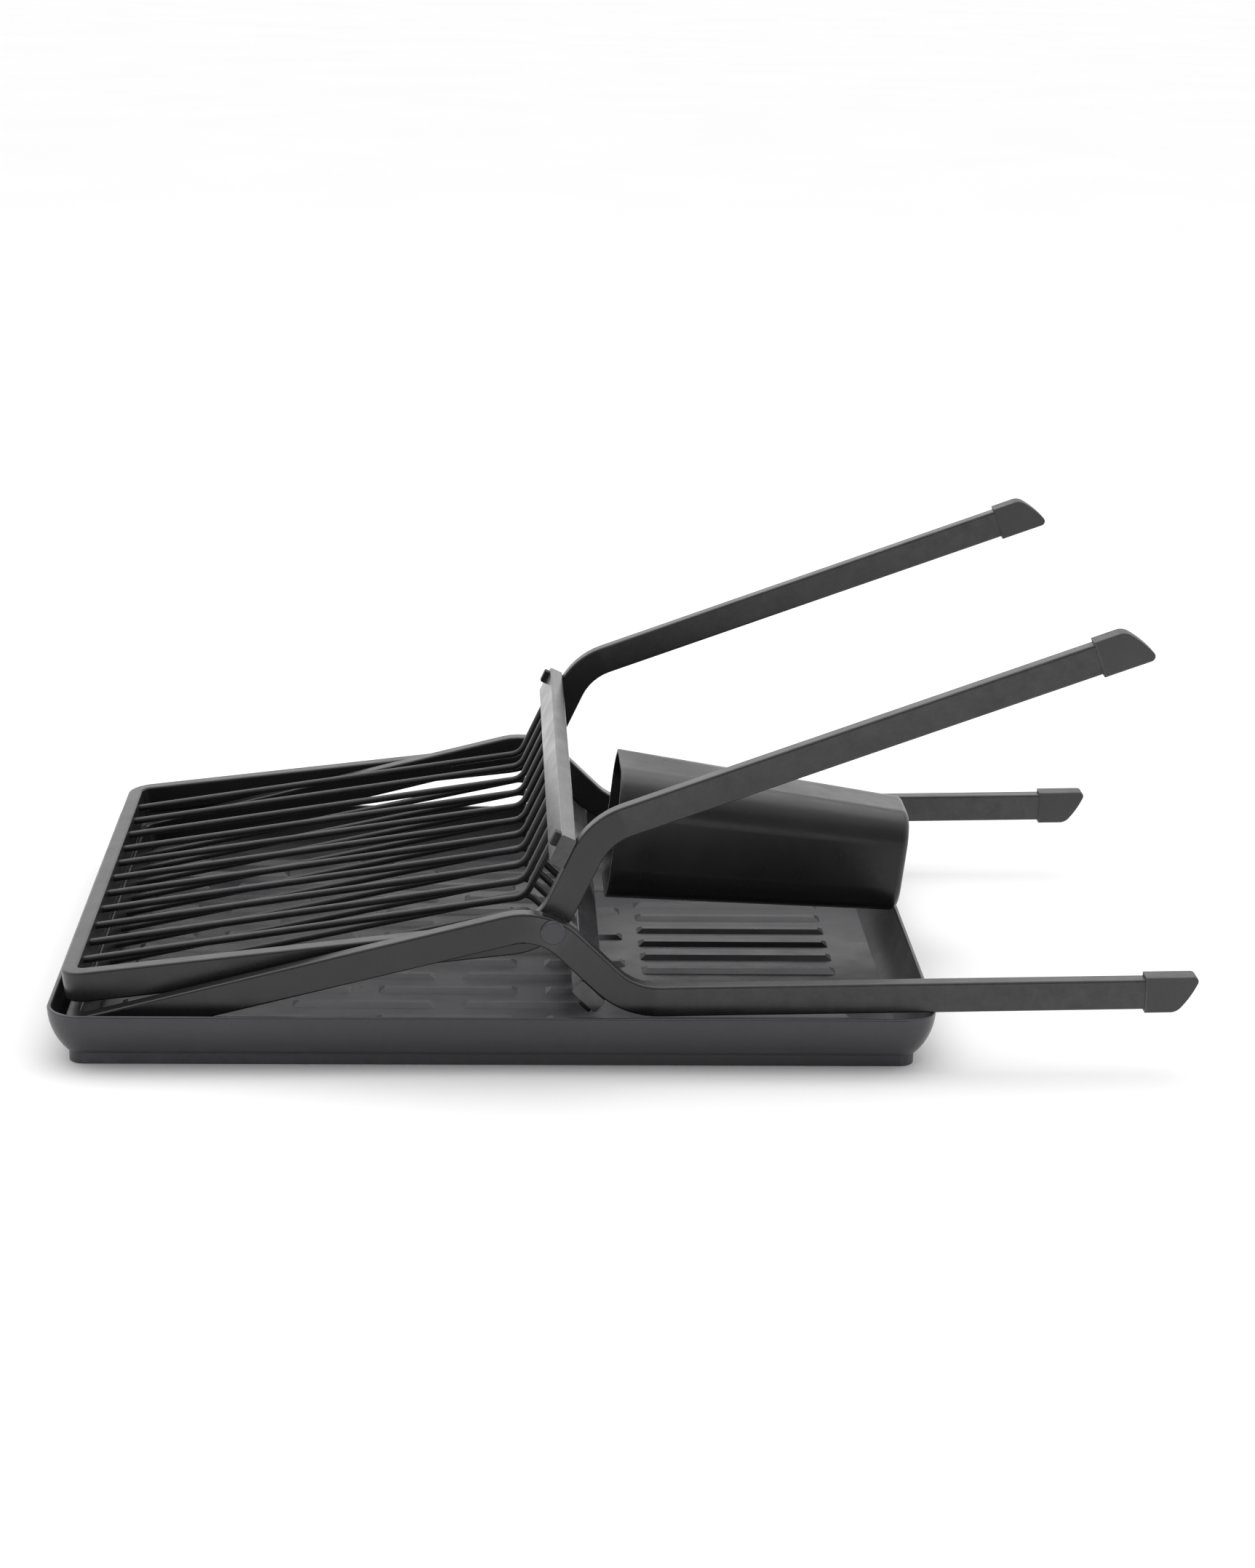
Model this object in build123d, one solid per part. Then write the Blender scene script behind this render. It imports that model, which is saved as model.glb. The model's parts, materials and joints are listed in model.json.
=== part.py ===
"""Folding bottle and dish drying rack with its drip tray and utensil cup.

Stored flat: two crossed wire frames, riveted together at one pivot on each side,
lie folded in the drip tray with the utensil cup between their legs. The frames are
alike. They are set off across the tray, so the lower one's arm is outside at the
near pivot and the upper one's arm is outside at the far pivot.
Millimetres. X runs along the tray, Y across it, Z up. The origin is the middle of
the tray's base, on the surface that the tray stands on.
"""
import os
from math import asin, atan2, cos, degrees, radians, sin, sqrt, tan

from build123d import *

# ---------------------------------------------------------------- drip tray
tray_length = 424.0
tray_width = 334.0
tray_height = 27.4
tray_wall = 2.2
tray_foot_inset = 8.8         # the walls curve in this far down to the foot ring
tray_floor_inset = 14.0       # and this far down to the floor, inside
floor_corner_radius = 3.3     # the walls' corners lie round the floor's
tray_floor_top = 4.4
tray_floor_thickness = 2.2
skirt_top = 5.8               # the walls step in here to a plain foot ring
skirt_step = 1.0
skirt_wall = 2.4
rim_round = 0.8

rib_height = 1.9
rib_width = 9.3               # at the floor
rib_top_width = 3.3
rib_pitch = 20.0              # between rows
rib_side_margin = 11.5        # floor's edge to the outermost row, at least
short_rib_length = 70.0
short_rib_gap = 14.0
short_rib_margin = 28.0       # tray's end to the ribs under the wings
long_rib_length = 100.0
long_rib_margin = 36.0        # tray's end to the ribs under the legs
rib_field_gap = 8.0
shortest_rib = 14.0

# ---------------------------------------------------------------- the two frames
bar_height = 15.0             # the flat bar stands on edge in the arms
bar_thickness = 8.0
bar_round = 1.2
arm_side_gap = 0.6            # between the feet's rubber where they pass
knee_length = 51.2            # pivot to the corner where the leg starts
heel_length = 6.7             # pivot to the corner where the wing starts
leg_length = 262.0            # knee corner to the end of the bar
knee_bend = 45.0              # turn between knee and leg
knee_radius = 34.0            # centre line radii of the bends
heel_radius = 30.0
end_corner_radius = 12.0      # outer radius of the end bar's corners
end_bar_return = 20.0         # straight run between those corners and the arms

# ---------------------------------------------------------------- how they lie when folded
pivot_to_rim = 184.8          # pivot to the end of the tray that the legs cross
lower_leg_angle = 1.2
leg_rest_gap = 0.3            # lower legs over the rim
end_bar_rest_gap = 0.4        # lower end bar over the ribs
end_bar_wall_gap = 0.4        # its underside to the tray's end wall
arm_wall_gap = 0.5            # the arms to the tray's side walls
end_bar_stack_gap = 4.2       # between the two end bars

# ---------------------------------------------------------------- wires and crossbars
wire_count = 11
wire_diameter = 3.6
wire_margin = 31.0            # frame's side to the first wire
wire_bend_radius = 9.0
wire_in_crossbar = 1.7        # wire off the crossbar's middle, away from the knee
wire_bend_along = -2.2        # the wires bend here, measured along the knee
wire_end_offset = 3.0         # wire above the middle of the end bar
crossbar_height = 15.4
crossbar_thickness = 7.6
crossbar_along = 35.0         # pivot to the middle of the crossbar, along the knee
crossbar_round = 1.0
pad_length = 7.0
pad_width = 5.0
pad_thickness = 3.0
pad_inset = 3.5               # pad to the end of the crossbar
pad_round = 0.8

# ---------------------------------------------------------------- foot caps
cap_wall = 1.5                # above and below the bar
cap_side_wall = 1.0           # on the bar's flat sides
cap_length = 26.6             # along its longer edge
cap_socket = 15.0             # how far the bar goes in
cap_edge_round = 0.9
sole_angle = 57.6             # sole to leg, so that it lies flat when unfolded
sole_bulge = 1.2              # the sole is a little convex
cap_heel_round = 7.0
cap_tip_round = 2.5
cap_fit = 0.05

# ---------------------------------------------------------------- pivots
rivet_diameter = 6.0
rivet_head_diameter = 11.6
rivet_head_height = 1.7
rivet_head_round = 0.9
pivot_clearance = 0.06        # radial, rivet in the arms and the washer
side_clearance = 0.1          # between heads, arms and washer
washer_diameter = 13.0

# ---------------------------------------------------------------- utensil cup
cup_length = 152.0
cup_mouth = 70.5
cup_base = 54.0
cup_mouth_corner = 21.0
cup_base_corner = 16.0
cup_wall = 2.0
cup_base_round = 3.5
cup_tilt = 6.0                # its mouth end lies a little higher than its base
cup_crossbar_gap = 4.3        # lower crossbar to the cup's mouth
cup_rest_gap = 0.5            # cup over the rim
cup_y = 2.5


def polar(length, angle):
    """A point at this distance from the pivot, in the plane of an arm."""
    return Vector(length * cos(radians(angle)), length * sin(radians(angle)))


def direction_of(vector):
    return degrees(atan2(vector.Y, vector.X))


def rounded_block(length, width, height, corner, face_round):
    """A block on its base centre, with rounded upright edges and a rounded top."""
    block = extrude(RectangleRounded(length, width, corner), height)
    return fillet(block.edges().group_by(Axis.Z)[-1], face_round)


# ================================================================ where things lie
rib_top = tray_floor_top + rib_height
outer_wall = (0, tray_foot_inset, skirt_top)
inner_wall = (tray_wall, tray_floor_inset, tray_floor_top)


def wall_inset(z, wall):
    """How far in a wall is at height z: upright at the rim, then an arc to its foot."""
    top_inset, foot_inset, foot_z = wall
    run = foot_inset - top_inset
    radius = ((tray_height - foot_z) ** 2 + run**2) / (2 * run)
    return top_inset + radius - sqrt(radius**2 - (tray_height - z) ** 2)


# along the tray, from the pivot: the lower legs rest on the rim at one end ...
pivot_x = tray_length / 2 - pivot_to_rim
lower_knee = polar(knee_length, lower_leg_angle - knee_bend)
lower_heel = polar(-heel_length, lower_leg_angle - knee_bend)
knee_to_rim = pivot_to_rim - tray_wall - lower_knee.X
leg_rise = knee_to_rim * tan(radians(lower_leg_angle))
leg_underside = lower_knee.Y + leg_rise - bar_height / 2 / cos(radians(lower_leg_angle))
pivot_z = tray_height + leg_rest_gap - leg_underside

# ... and the lower end bar's underside lies at the foot of the wall at the other end
end_bar_z = rib_top + end_bar_rest_gap
lower_corner = Vector(
    wall_inset(end_bar_z, inner_wall) + end_bar_wall_gap - tray_length / 2 - pivot_x,
    end_bar_z - pivot_z,
)
heel_to_corner = lower_corner - lower_heel
wing_length = sqrt(heel_to_corner.length**2 - (bar_height / 2) ** 2)
lower_wing_angle = direction_of(heel_to_corner) - direction_of(Vector(wing_length, bar_height / 2))
wing_bend = lower_leg_angle - lower_wing_angle
lower_tip = lower_heel + polar(wing_length, lower_wing_angle)

# the upper end bar lies over the lower one
upper_tip_height = lower_tip.Y + bar_height + end_bar_stack_gap
tip_bend = lower_leg_angle - direction_of(lower_tip)
upper_leg_angle = 180 - degrees(asin(upper_tip_height / lower_tip.length)) - tip_bend

# across the tray: the arms clear the side walls where the end bar's corners start
corner_rise = end_corner_radius * sin(radians(180 + lower_wing_angle))
arm_inset = wall_inset(end_bar_z + corner_rise, inner_wall) + arm_wall_gap
arms_width = tray_width - 2 * arm_inset
arm_gap = 2 * cap_side_wall + arm_side_gap
frame_offset = bar_thickness + arm_gap
frame_width = arms_width - frame_offset
wire_pitch = (frame_width - 2 * wire_margin) / (wire_count - 1)
crossbar_offset = (bar_height + crossbar_thickness) / 2
wire_offset = crossbar_offset + wire_in_crossbar


# ================================================================ drip tray
def wall_arc(wall):
    """The wall's curve from its rim to its foot, drawn as (inset, height)."""
    top_inset, foot_inset, foot_z = wall
    middle = (tray_height + foot_z) / 2
    return ThreePointArc(
        (top_inset, tray_height), (wall_inset(middle, wall), middle), (foot_inset, foot_z)
    )


def tray_wall_profile():
    skirt_inset = tray_foot_inset + skirt_step
    floor_base = tray_floor_top - tray_floor_thickness
    return Curve() + [
        wall_arc(outer_wall),
        Polyline(
            (tray_foot_inset, skirt_top),
            (skirt_inset, skirt_top),
            (skirt_inset, 0),
            (skirt_inset + skirt_wall, 0),
            (skirt_inset + skirt_wall, floor_base),
            (tray_floor_inset, floor_base),
            (tray_floor_inset, tray_floor_top),
        ),
        wall_arc(inner_wall),
        Line((tray_wall, tray_height), (0, tray_height)),
    ]


def tray_ring(profile):
    """Sweep a profile, drawn as (inset, height), round the rim of the tray."""
    corner_radius = floor_corner_radius + tray_floor_inset
    half_x = tray_length / 2 - corner_radius
    half_y = tray_width / 2 - corner_radius
    face = make_face(Plane.XZ * Pos(corner_radius, 0) * mirror(profile, Plane.YZ))
    corner = revolve(face, Axis.Z, 90)
    ring = None
    for turn, x, y, run in (
        (0, half_x, half_y, 2 * half_x),
        (90, -half_x, half_y, 2 * half_y),
        (180, -half_x, -half_y, 2 * half_x),
        (270, half_x, -half_y, 2 * half_y),
    ):
        place = Pos(x, y) * Rot(Z=turn)
        side = extrude(Rot(Z=90) * face, run, dir=(-1, 0, 0))
        ring = place * (corner + side) if ring is None else ring + place * (corner + side)
    return ring


def rib(start, end, y):
    """A low block with sloping sides and ends."""
    slopes = rib_width - rib_top_width
    length = end - start
    block = loft([
        Rectangle(length, rib_width),
        Pos(0, 0, rib_height) * Rectangle(length - slopes, rib_top_width),
    ])
    return Pos((start + end) / 2, y, tray_floor_top) * block


def rib_rows(count):
    return [(row - (count - 1) / 2) * rib_pitch for row in range(count)]


def tray_ribs():
    """Short ribs like laid bricks under the wings, long ribs under the legs."""
    ribs = []
    long_end = tray_length / 2 - long_rib_margin
    long_start = long_end - long_rib_length
    short_start = short_rib_margin - tray_length / 2
    short_end = long_start - rib_field_gap
    rib_room = tray_width - 2 * (tray_floor_inset + rib_side_margin) - rib_width
    rows = int(rib_room / rib_pitch) + 1
    step = short_rib_length + short_rib_gap
    for row, y in enumerate(rib_rows(rows)):
        start = short_start - (row % 2) * step / 2
        while start < short_end:
            low = max(start, short_start)
            high = min(start + short_rib_length, short_end)
            if high - low >= shortest_rib:
                ribs.append(rib(low, high, y))
            start += step
    ribs += [rib(long_start, long_end, y) for y in rib_rows(rows - 1)]
    return ribs


def drip_tray():
    floor = extrude(
        RectangleRounded(
            tray_length - 2 * tray_floor_inset,
            tray_width - 2 * tray_floor_inset,
            floor_corner_radius,
        ),
        tray_floor_thickness,
    )
    floor_base = tray_floor_top - tray_floor_thickness
    tray = tray_ring(tray_wall_profile()) + Pos(0, 0, floor_base) * floor
    tray = fillet(tray.edges().group_by(Axis.Z)[-1], rim_round)
    return tray + tray_ribs()


# ================================================================ frames
class Side:
    """The outline of one frame's arm, in the plane X-Z, with the pivot at its origin.

    turn is -1 for the lower frame, whose knee drops from the pivot when folded,
    and 1 for the upper frame, whose knee rises. The outlines are mirror images.
    """

    def __init__(self, leg_angle, turn):
        self.turn = turn
        self.shift = turn * frame_offset / 2
        self.leg_angle = leg_angle
        self.knee_angle = leg_angle + turn * knee_bend
        self.wing_angle = leg_angle + turn * wing_bend
        self.knee = polar(knee_length, self.knee_angle)
        self.heel = polar(-heel_length, self.knee_angle)
        self.toe = self.knee + polar(leg_length, leg_angle)
        self.tip = self.heel + polar(wing_length, self.wing_angle)

    def arm_y(self, sign):
        """Middle of the near (-1) or far (1) arm."""
        return self.shift + sign * (frame_width - bar_thickness) / 2

    def at_knee(self, along, offset):
        """A point by the knee: along it from the pivot, and off it to the wing's side."""
        return polar(along, self.knee_angle) + polar(offset, self.knee_angle + self.turn * 90)

    def wing_plane(self):
        """Origin at the heel, X along the wing, Z off its flat side."""
        along = polar(1, self.wing_angle)
        up = polar(1, self.wing_angle - self.turn * 90)
        return Plane(
            origin=(self.heel.X, self.shift, self.heel.Y),
            x_dir=(along.X, 0, along.Y),
            z_dir=(up.X, 0, up.Y),
        )

    def leg_plane(self, y):
        """Origin at the end of the bar, X along the leg, Y up off the leg."""
        along = polar(1, self.leg_angle)
        return Plane(
            origin=(self.toe.X, y, self.toe.Y), x_dir=(along.X, 0, along.Y), z_dir=(0, -1, 0)
        )


lower = Side(lower_leg_angle, -1)
upper = Side(upper_leg_angle, 1)
pivot = Pos(pivot_x, 0, pivot_z)
arm_plane = Plane(origin=(0, 0, 0), x_dir=(1, 0, 0), z_dir=(0, -1, 0))


def arm_path(side):
    """Centre line of one arm: toe, round the knee and the heel, into the wing."""
    run = wing_length - end_corner_radius - end_bar_return
    end = side.heel + polar(run, side.wing_angle)
    corners = [side.toe, side.knee, side.heel, end]
    return FilletPolyline(*[(p.X, p.Y) for p in corners], radius=[knee_radius, heel_radius])


def end_bar_path(side):
    """Centre line of the end bar and the start of both arms, in the wing's plane."""
    x_start = wing_length - end_corner_radius - end_bar_return
    x_end = wing_length - bar_thickness / 2
    half = (frame_width - bar_thickness) / 2
    return FilletPolyline(
        (x_start, -half),
        (x_end, -half),
        (x_end, half),
        (x_start, half),
        radius=end_corner_radius - bar_thickness / 2,
    )


def frame(side):
    """One bar, bent in one piece: leg, knee, wing, end bar and back again."""
    profile = RectangleRounded(bar_height, bar_thickness, bar_round)
    path = arm_plane * arm_path(side)
    section = Plane(origin=path @ 0, x_dir=(0, 1, 0), z_dir=path % 0) * Rot(Z=90) * profile
    arm = sweep(section, path=path)

    wing = side.wing_plane()
    path = wing * end_bar_path(side)
    section = Plane(origin=path @ 0, x_dir=wing.z_dir, z_dir=path % 0) * profile
    end_bar = sweep(section, path=path)

    hole = Rot(X=90) * Cylinder(rivet_diameter / 2 + pivot_clearance, tray_width)
    near, far = (Pos(0, side.arm_y(sign), 0) * arm for sign in (-1, 1))
    return near + end_bar + far - hole


def crossbar(side):
    """Lies on the wing side of both knees, and is as wide as the frame."""
    middle = side.at_knee(crossbar_along, crossbar_offset)
    bar = Box(crossbar_height, frame_width, crossbar_thickness)
    bar = fillet(bar.edges().filter_by(Axis.Y), crossbar_round)
    return Pos(middle.X, side.shift, middle.Y) * Rot(Y=-side.knee_angle) * bar


def crossbar_pads(side):
    """Two small rubber pads on the crossbar's outer face, one near each end."""
    along = crossbar_along + (crossbar_height - pad_length) / 2 - crossbar_round
    foot = side.at_knee(along, bar_height / 2 + crossbar_thickness)
    tilt = 90 - (side.knee_angle + side.turn * 90)
    pads = []
    for sign in (-1, 1):
        y = side.shift + sign * ((frame_width - pad_width) / 2 - pad_inset)
        pad = rounded_block(pad_length, pad_width, pad_thickness, pad_round, pad_round)
        pads.append(Pos(foot.X, y, foot.Y) * Rot(Y=tilt) * pad)
    return Compound(children=pads)


def wire(side, y, end_bar, bar):
    """From inside the end bar, along the wing, and up the knee to the crossbar."""
    bend = side.at_knee(wire_bend_along, wire_offset)
    top = side.at_knee(crossbar_along, wire_offset)
    lift = polar(wire_end_offset, side.wing_angle - side.turn * 90)
    end = side.tip - polar(bar_thickness / 2, side.wing_angle) + lift
    path = FilletPolyline(*[(p.X, y, p.Y) for p in (end, bend, top)], radius=wire_bend_radius)
    section = Plane(origin=path @ 0, z_dir=path % 0) * Circle(wire_diameter / 2)
    return sweep(section, path=path) - end_bar - bar


def wires(side, bar):
    end_bar = side.wing_plane() * Pos(wing_length - bar_thickness / 2, 0, 0) * Box(
        bar_thickness, frame_width - 2 * end_corner_radius, bar_height
    )
    middle = (wire_count - 1) / 2
    places = [side.shift + (number - middle) * wire_pitch for number in range(wire_count)]
    return [wire(side, y, end_bar, bar) for y in places]


def foot_cap(side, sign):
    """A rubber shoe over the end of the leg, with a sole that is flat in use."""
    height = bar_height + 2 * cap_wall
    # drawn along the leg, with the tip of the sole on the side that the knee bends to
    tip = Vector(cap_length - cap_socket, -side.turn * height / 2)
    heel = Vector(tip.X - height / tan(radians(sole_angle)), -tip.Y)
    middle = (tip + heel) / 2 + polar(sole_bulge, side.turn * (90 - sole_angle))
    outline = Curve() + [
        Polyline((heel.X, heel.Y), (-cap_socket, heel.Y), (-cap_socket, tip.Y), (tip.X, tip.Y)),
        ThreePointArc((tip.X, tip.Y), (middle.X, middle.Y), (heel.X, heel.Y)),
    ]
    shape = make_face(outline)
    shape = fillet(shape.vertices().sort_by(Axis.X)[-2], cap_heel_round)
    shape = fillet(shape.vertices().sort_by(Axis.X)[-1], cap_tip_round)
    cap = extrude(shape, bar_thickness / 2 + cap_side_wall, both=True)
    sides = cap.edges().group_by(Axis.Z)
    cap = fillet(sides[0] + sides[-1], cap_edge_round)
    socket = Pos(-cap_socket / 2, 0, 0) * Box(
        cap_socket, bar_height + 2 * cap_fit, bar_thickness + 2 * cap_fit
    )
    return side.leg_plane(side.arm_y(sign)) * (cap - socket)


# ================================================================ pivots
def rivet(sign):
    """Domed head outside, shank through both arms, flat closing head inside."""
    outside = arms_width / 2 + side_clearance
    inside = arms_width / 2 - 2 * bar_thickness - arm_gap - side_clearance
    shank = Pos(0, 0, inside) * extrude(Circle(rivet_diameter / 2), outside - inside)
    head = extrude(Circle(rivet_head_diameter / 2), rivet_head_height)
    head = fillet(head.edges().group_by(Axis.Z)[-1], rivet_head_round)
    closing = mirror(head, Plane.XY)
    whole = shank + Pos(0, 0, outside) * head + Pos(0, 0, inside) * closing
    return Rot(X=-90 * sign) * whole


def washer(sign):
    """Keeps the two arms apart at the pivot."""
    thickness = arm_gap - 2 * side_clearance
    ring = Circle(washer_diameter / 2) - Circle(rivet_diameter / 2 + pivot_clearance)
    start = arms_width / 2 - bar_thickness - arm_gap + side_clearance
    return Rot(X=-90 * sign) * Pos(0, 0, start) * extrude(ring, thickness)


# ================================================================ utensil cup
def cup_place():
    """Middle of the cup's base: its mouth by the lower crossbar, its side on the rim."""
    tilt = radians(cup_tilt)
    flare = (cup_mouth - cup_base) / 2 / cup_length
    edge = lower.at_knee(crossbar_along + crossbar_height / 2, bar_height / 2)
    mouth_x = pivot_x + edge.X + cup_crossbar_gap + cup_mouth / 2 * sin(tilt)
    x = mouth_x + cup_length * cos(tilt)
    # the cup's underside crosses the rim's inner edge this far along it from the base
    rim_x = tray_length / 2 - tray_wall
    along = (x - rim_x - cup_base / 2 * sin(tilt)) / (cos(tilt) + flare * sin(tilt))
    radius = cup_base / 2 + along * flare
    return Pos(x, cup_y, tray_height + cup_rest_gap - along * sin(tilt) + radius * cos(tilt))


def utensil_cup():
    def taper(shrink, low):
        slope = (cup_mouth - cup_base) / cup_length
        base = cup_base + slope * low - 2 * shrink
        mouth = cup_mouth - 2 * shrink
        return loft([
            Pos(0, 0, low) * RectangleRounded(base, base, cup_base_corner - shrink),
            Pos(0, 0, cup_length) * RectangleRounded(mouth, mouth, cup_mouth_corner - shrink),
        ])

    body = taper(0, 0)
    body = fillet(body.edges().group_by(Axis.Z)[0], cup_base_round)
    cup = body - taper(cup_wall, cup_wall)
    return cup_place() * Rot(Y=cup_tilt - 90) * cup


# ================================================================ the whole rack
def build():
    nodes = {"drip_tray": drip_tray(), "utensil_cup": utensil_cup()}
    for name, side in (("lower", lower), ("upper", upper)):
        bar = crossbar(side)
        nodes[f"{name}_frame"] = pivot * frame(side)
        nodes[f"{name}_crossbar"] = pivot * bar
        nodes[f"{name}_crossbar_pads"] = pivot * crossbar_pads(side)
        for number, rod in enumerate(wires(side, bar), start=1):
            nodes[f"{name}_wire_{number:02d}"] = pivot * rod
        for where, sign in (("near", -1), ("far", 1)):
            nodes[f"{name}_foot_cap_{where}"] = pivot * foot_cap(side, sign)
    for where, sign in (("near", -1), ("far", 1)):
        nodes[f"pivot_rivet_{where}"] = pivot * rivet(sign)
        nodes[f"pivot_washer_{where}"] = pivot * washer(sign)
    return nodes


if __name__ == "__main__":
    os.makedirs("parts", exist_ok=True)
    for node, shape in build().items():
        export_step(shape, f"parts/{node}.step")
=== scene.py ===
"""Looks for the folding bottle and dish drying rack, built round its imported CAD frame."""
import json
from math import cos, radians, sin

import bpy
from mathutils import Matrix, Vector

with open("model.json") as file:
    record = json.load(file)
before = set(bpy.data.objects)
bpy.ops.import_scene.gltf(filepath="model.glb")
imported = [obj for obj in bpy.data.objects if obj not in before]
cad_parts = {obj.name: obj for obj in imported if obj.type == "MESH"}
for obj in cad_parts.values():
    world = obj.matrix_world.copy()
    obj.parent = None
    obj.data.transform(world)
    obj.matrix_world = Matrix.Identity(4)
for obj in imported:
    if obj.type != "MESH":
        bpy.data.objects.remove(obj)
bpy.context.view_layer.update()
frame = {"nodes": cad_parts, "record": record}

# ------------------------------------------------------------------ materials
# pattern sizes, as noise scales over object coordinates in metres
CLOUD_SCALE = 18.0
SPECK_SCALE = 900.0
RUB_AND_HIGHLIGHT_SCALE = 140.0
GLOSS_SCALE = 55.0
FLOOR_SCALE = 3.0

SPECK_RANGE = (0.55, 0.8)      # part of the fine noise that shows as specks
SPECK_STRENGTH = 0.25
SPECK_LIGHTER = 1.5
EDGE_RANGE = (0.51, 0.58)      # pointiness from flat to a sharp edge
LEAST_RUB_AND_HIGHLIGHT = 0.3
SMOOTHER, ROUGHER = 0.05, 0.07
SPECULAR_LEVEL = 0.5

# base colours (dark, light, edge lightened as wear and painted highlight), roughness, grain scale,
# grain depth in metres, blue tint
COATINGS = {
    "tray_plastic": ((0.030, 0.035, 0.085), 0.32, 2600.0, 0.00003, 1.12),
    "cup_plastic": ((0.011, 0.014, 0.04), 0.30, 2200.0, 0.00002, 1.03),
    "frame_coating": ((0.014, 0.018, 0.05), 0.30, 1500.0, 0.00003, 1.0),
    # crossbar base colour is set lighter than the frame's, partly as painted highlight for the
    # bright glancing reflection on its faces; its lower roughness is real gloss
    "crossbar_coating": ((0.022, 0.028, 0.07), 0.22, 1500.0, 0.00001, 1.06),
    "wire_coating": ((0.008, 0.011, 0.03), 0.30, 1500.0, 0.00003, 1.0),
    "pad_rubber": ((0.006, 0.008, 0.02), 0.60, 1800.0, 0.00004, 1.0),
    "cap_rubber": ((0.042, 0.050, 0.10), 0.55, 2000.0, 0.00005, 1.02),
    "rivet_metal": ((0.040, 0.048, 0.10), 0.36, 1500.0, 0.00002, 1.18),
    "washer_plastic": ((0.010, 0.013, 0.03), 0.45, 1800.0, 0.00003, 1.0),
}


def grey(value, blue=1.0):
    return (value, value, value * blue, 1.0)


class Tree:
    """A small helper for building one node material."""

    def __init__(self, name):
        self.material = bpy.data.materials.new(name)
        self.material.use_nodes = True
        self.nodes = self.material.node_tree.nodes
        self.links = self.material.node_tree.links
        self.shader = self.nodes["Principled BSDF"]
        self.position = self.nodes.new("ShaderNodeTexCoord").outputs["Object"]

    def put(self, value, socket):
        """Link another node's output to the socket, or set its value."""
        if isinstance(value, bpy.types.NodeSocket):
            self.links.new(value, socket)
        else:
            socket.default_value = value

    def add(self, kind, inputs=None, **settings):
        node = self.nodes.new(kind)
        for key, value in settings.items():
            setattr(node, key, value)
        for key, value in (inputs or {}).items():
            self.put(value, node.inputs[key])
        return node

    def noise(self, scale, detail=3.0, rough=0.5):
        inputs = {"Vector": self.position, "Scale": scale, "Detail": detail, "Roughness": rough}
        return self.add("ShaderNodeTexNoise", inputs).outputs["Fac"]

    def spread(self, value, low, high, start=0.3, end=0.7):
        """Map a 0 to 1 pattern to a range."""
        inputs = {"Value": value, "From Min": start, "From Max": end, "To Min": low, "To Max": high}
        return self.add("ShaderNodeMapRange", inputs).outputs["Result"]

    def product(self, first, second):
        node = self.add("ShaderNodeMath", {0: first, 1: second}, operation="MULTIPLY")
        return node.outputs["Value"]

    def mix(self, factor, first, second):
        # the colour version of this node has its inputs at 6 and 7 and its output at 2
        node = self.add("ShaderNodeMix", {0: factor, 6: first, 7: second}, data_type="RGBA")
        return node.outputs[2]

    def bump(self, height, distance):
        inputs = {"Height": height, "Distance": distance, "Strength": 1.0}
        return self.add("ShaderNodeBump", inputs).outputs["Normal"]

    def connect(self, **sockets):
        for key, value in sockets.items():
            self.put(value, self.shader.inputs[key.replace("_", " ")])


def coating(name, colours, rough, grain, grain_depth, blue):
    """Painted, coated or moulded: mottled colour, edges lightened partly as wear and partly as
    painted highlight, uneven gloss, fine grain.
    """
    dark, light, edge = colours
    t = Tree(name)
    cloud = t.noise(CLOUD_SCALE, 4.0, 0.6)
    fine = t.noise(SPECK_SCALE, 2.0, 0.5)
    colour = t.mix(t.spread(cloud, 0.0, 1.0), grey(dark, blue), grey(light, blue))
    speck = t.spread(fine, 0.0, SPECK_STRENGTH, *SPECK_RANGE)
    colour = t.mix(speck, colour, grey(light * SPECK_LIGHTER, blue))
    # edge lightening, partly wear and partly painted highlight: pointiness picks the sharp edges
    # and a patchy noise varies it
    rub_and_highlight = t.noise(RUB_AND_HIGHLIGHT_SCALE, 5.0, 0.65)
    point = t.add("ShaderNodeNewGeometry").outputs["Pointiness"]
    worn_and_highlit_edge = t.product(t.spread(point, 0.0, 1.0, *EDGE_RANGE), t.spread(rub_and_highlight, LEAST_RUB_AND_HIGHLIGHT, 1.0))
    colour = t.mix(worn_and_highlit_edge, colour, grey(edge, blue))
    gloss = t.spread(t.noise(GLOSS_SCALE, 5.0, 0.6), rough - SMOOTHER, rough + ROUGHER)
    t.connect(
        Base_Color=colour,
        Roughness=gloss,
        Specular_IOR_Level=SPECULAR_LEVEL,
        Normal=t.bump(t.noise(grain, 3.0, 0.55), grain_depth),
    )
    return t.material


materials = {slot: coating(slot, *values) for slot, values in COATINGS.items()}
slots = {part["node"]: part["material_slot"] for part in frame["record"]["subparts"]}
for name, node in frame["nodes"].items():
    node.data.materials.clear()
    node.data.materials.append(materials[slots[name]])


# ------------------------------------------------------------------ floor
FLOOR_SIZE = 60.0
FLOOR_DROP = 0.0002            # under the tray's foot, so that the faces don't coincide
FLOOR_ROUGHNESS = 0.9
FLOOR_SPECULAR = 0.1


def floor_material():
    t = Tree("floor_paper")
    shade = t.mix(t.spread(t.noise(FLOOR_SCALE), 0.0, 1.0), grey(0.95), grey(0.97))
    t.connect(
        Base_Color=shade, Roughness=FLOOR_ROUGHNESS, Specular_IOR_Level=FLOOR_SPECULAR
    )
    return t.material


bpy.ops.mesh.primitive_plane_add(size=FLOOR_SIZE, location=(0, 0, -FLOOR_DROP))
floor = bpy.context.object
floor.name = "floor"
floor.data.materials.append(floor_material())


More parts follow.
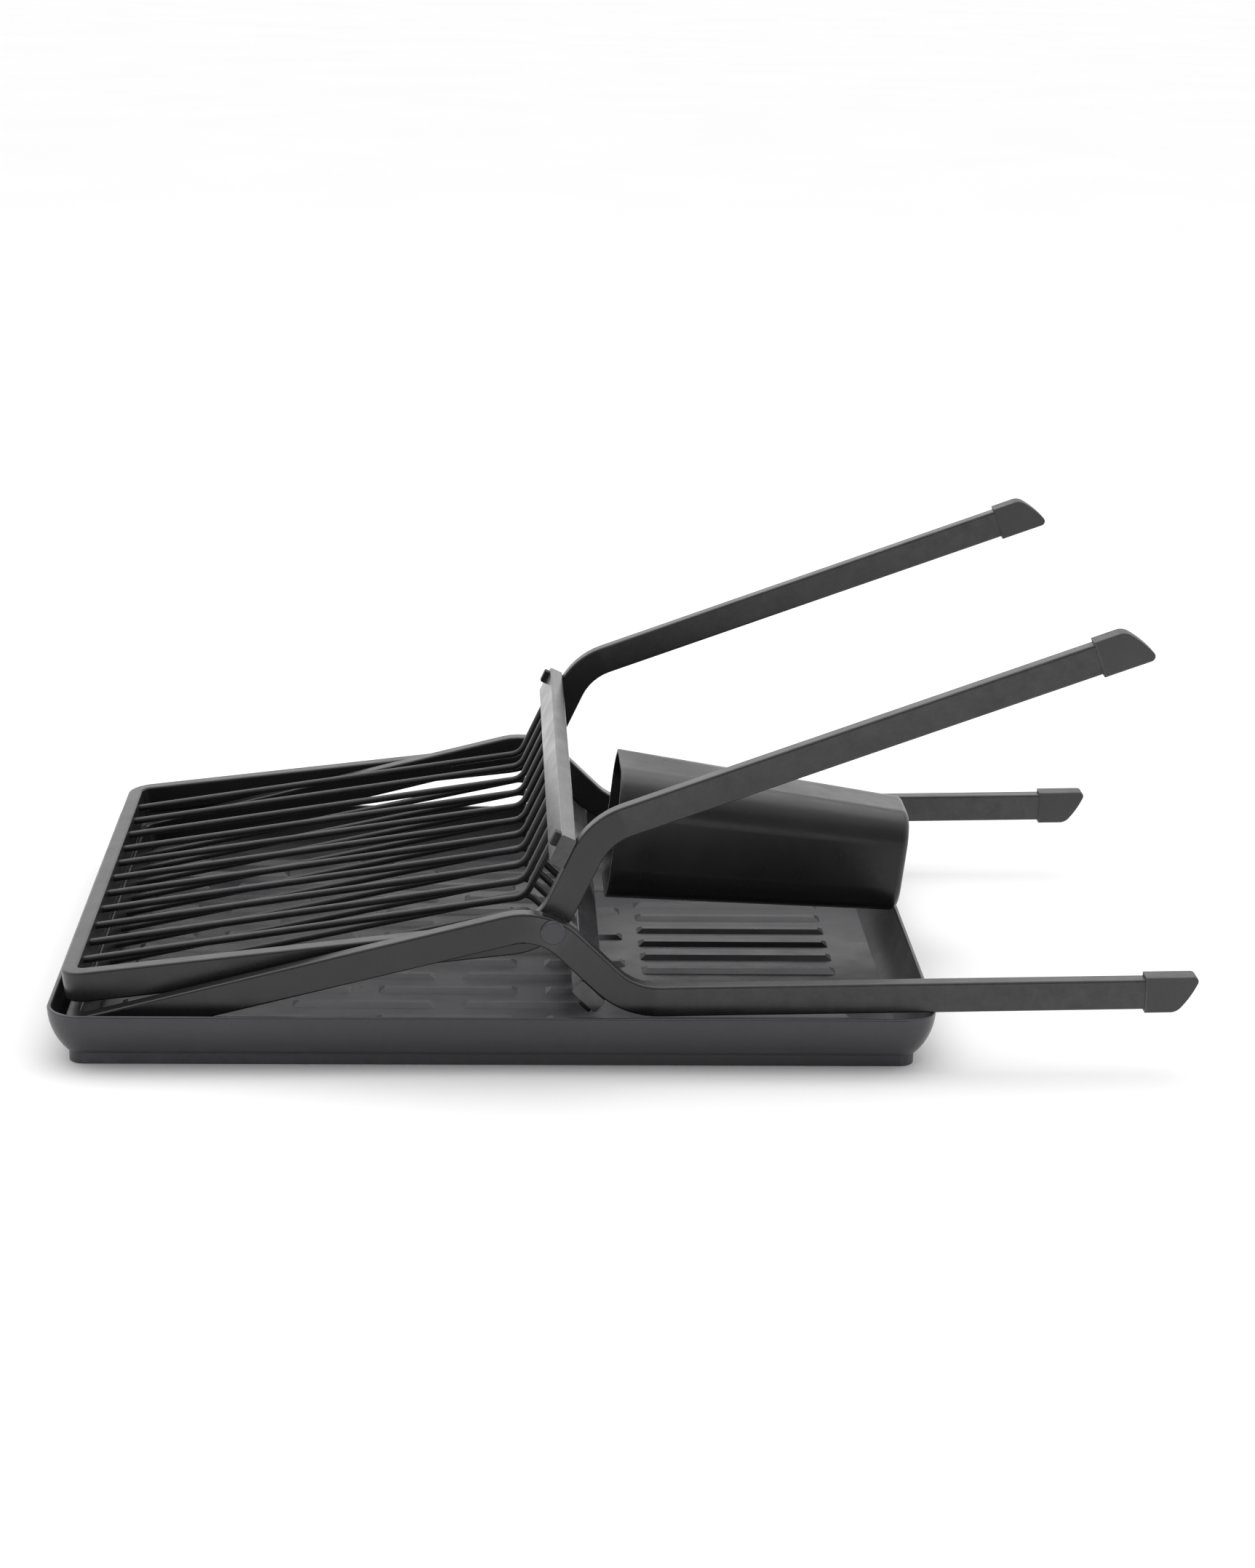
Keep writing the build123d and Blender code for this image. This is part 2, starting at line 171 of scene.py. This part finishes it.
# ------------------------------------------------------------------ light
LAMP_PLACE = Vector((-0.1, 0.45, 1.7))
LAMP_TARGET = Vector((0.05, 0.0, 0.05))
LAMP_SIZE = (2.4, 1.6)
LAMP_POWER = 12.0
# the world's strength rises between these two values of the view direction's Y
WORLD_SPAN = (-0.9, 0.1)
WORLD_STRENGTH = (0.25, 1.3)


def top_light():
    data = bpy.data.lights.new("top_light", "AREA")
    data.shape = "RECTANGLE"
    data.size, data.size_y = LAMP_SIZE
    data.energy = LAMP_POWER
    lamp = bpy.data.objects.new("top_light", data)
    bpy.context.scene.collection.objects.link(lamp)
    lamp.location = LAMP_PLACE
    lamp.rotation_euler = (LAMP_TARGET - LAMP_PLACE).to_track_quat("-Z", "Y").to_euler()


def white_room():
    """A white world, dimmer towards the camera, so that faces turned to it stay dark."""
    world = bpy.data.worlds.new("studio")
    bpy.context.scene.world = world
    world.use_nodes = True
    tree = world.node_tree
    coords = tree.nodes.new("ShaderNodeTexCoord")
    split = tree.nodes.new("ShaderNodeSeparateXYZ")
    ramp = tree.nodes.new("ShaderNodeMapRange")
    tree.links.new(coords.outputs["Generated"], split.inputs[0])
    tree.links.new(split.outputs["Y"], ramp.inputs["Value"])
    ramp.inputs["From Min"].default_value, ramp.inputs["From Max"].default_value = WORLD_SPAN
    ramp.inputs["To Min"].default_value, ramp.inputs["To Max"].default_value = WORLD_STRENGTH
    background = tree.nodes["Background"]
    tree.links.new(ramp.outputs["Result"], background.inputs["Strength"])
    background.inputs["Color"].default_value = (1, 1, 1, 1)


top_light()
white_room()

# ------------------------------------------------------------------ camera
CAMERA_PLACE = Vector((-0.0053, -1.5085, 0.5562))
CAMERA_YAW, CAMERA_PITCH, CAMERA_ROLL = (radians(a) for a in (2.804, 17.068, 1.259))
LENS_PER_FRAME_HEIGHT = 1.9403
SENSOR = 24.0

look = Vector((
    sin(CAMERA_YAW) * cos(CAMERA_PITCH),
    cos(CAMERA_YAW) * cos(CAMERA_PITCH),
    -sin(CAMERA_PITCH),
))
level = Vector((cos(CAMERA_YAW), -sin(CAMERA_YAW), 0.0))
rise = level.cross(look)
right = level * cos(CAMERA_ROLL) + rise * sin(CAMERA_ROLL)
up = rise * cos(CAMERA_ROLL) - level * sin(CAMERA_ROLL)

camera_data = bpy.data.cameras.new("camera")
camera_data.sensor_fit = "VERTICAL"
camera_data.sensor_height = SENSOR
camera_data.lens = SENSOR * LENS_PER_FRAME_HEIGHT
camera = bpy.data.objects.new("camera", camera_data)
bpy.context.scene.collection.objects.link(camera)
turn = Matrix((right, up, -look)).transposed().to_4x4()
camera.matrix_world = Matrix.Translation(CAMERA_PLACE) @ turn
bpy.context.scene.camera = camera
bpy.context.scene.view_settings.view_transform = "Standard"
